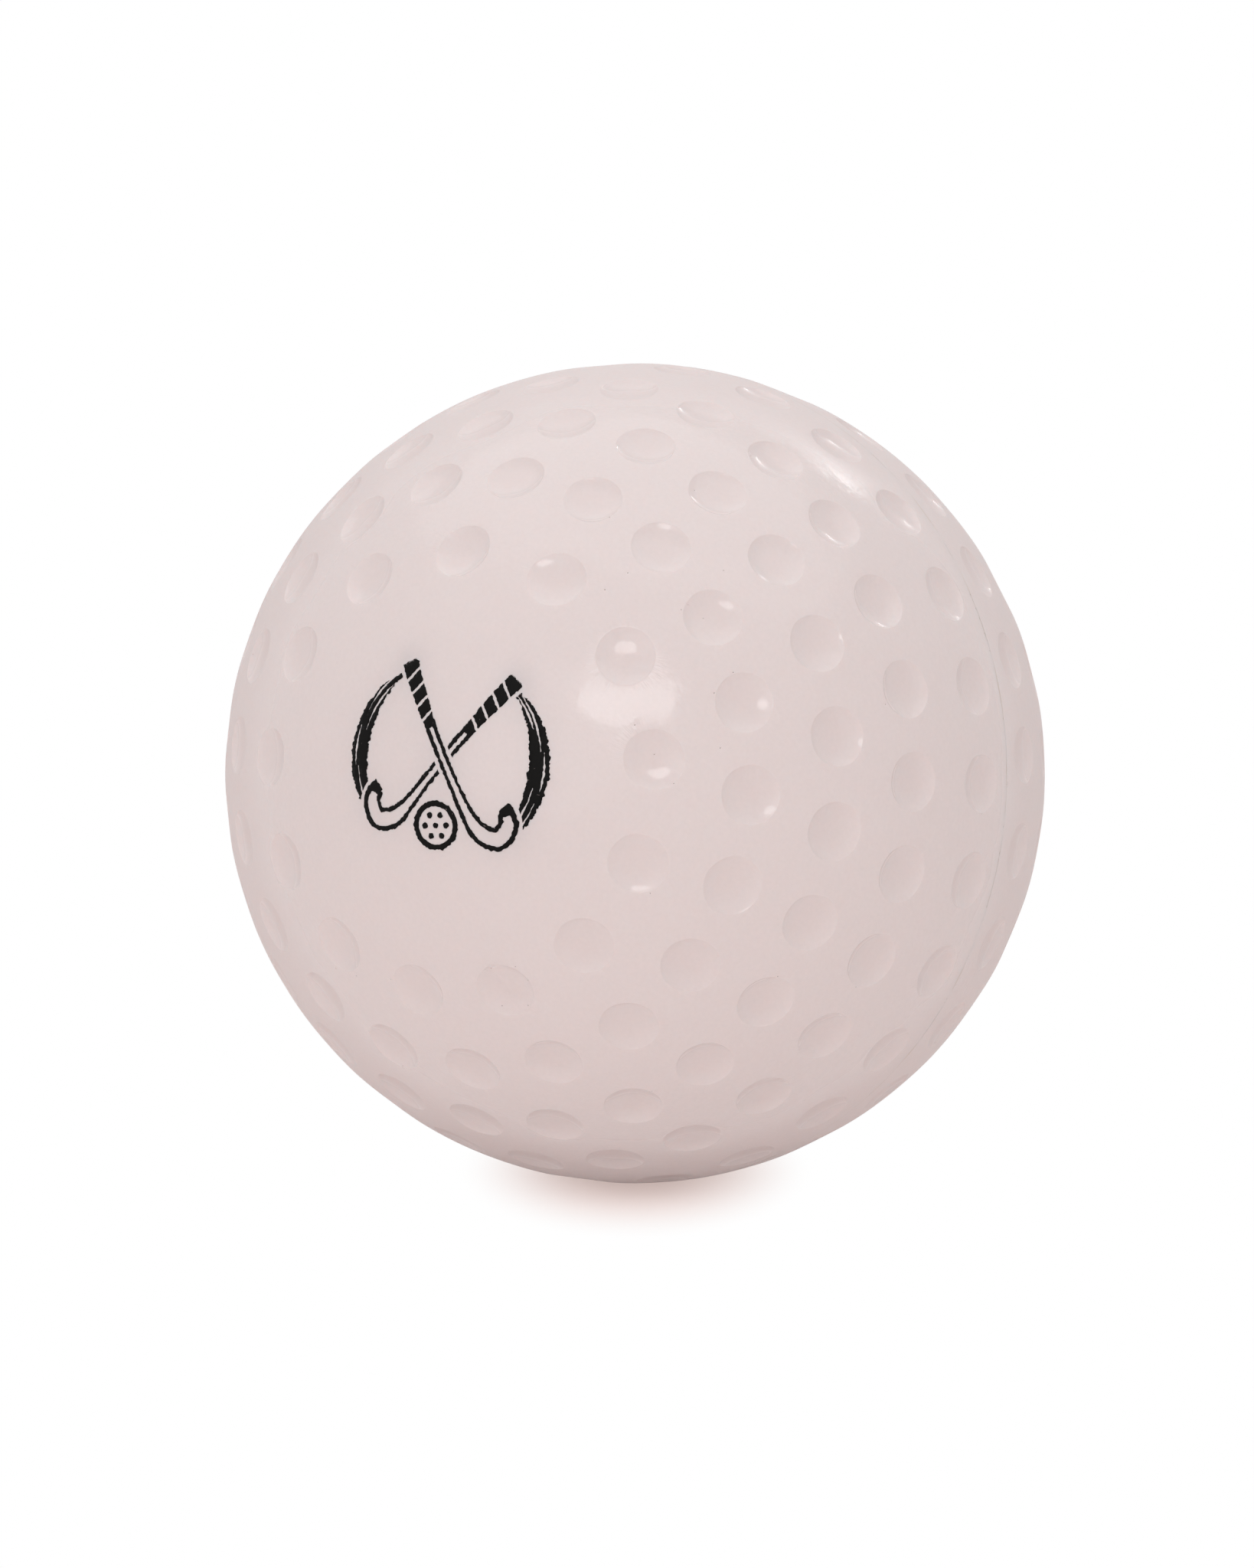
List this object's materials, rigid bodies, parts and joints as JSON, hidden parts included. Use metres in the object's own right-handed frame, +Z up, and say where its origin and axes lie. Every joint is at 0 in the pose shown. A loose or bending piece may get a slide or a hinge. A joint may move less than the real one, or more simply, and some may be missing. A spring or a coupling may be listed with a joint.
{
  "type": "field hockey ball",
  "caption": "Hard round ball with a satin plastic cover in two welded halves, moulded with rows of shallow dimples round two plain caps, over a solid core.",
  "frame": {"origin": "centre of the ball", "axes": "+Z up as the ball lies; the mould axis, through the middles of the two plain caps, points forwards to -Y and 10.5 degrees up; +X to the right of the front cap"},
  "size_m": [0.073, 0.073, 0.073],
  "materials": {
    "cover_plastic": "satin",
    "cork_composition": "matte"
  },
  "bodies": {
    "root": {"cover_half_front": "cover_plastic", "cover_half_back": "cover_plastic", "core": "cork_composition"}
  },
  "joints": []
}
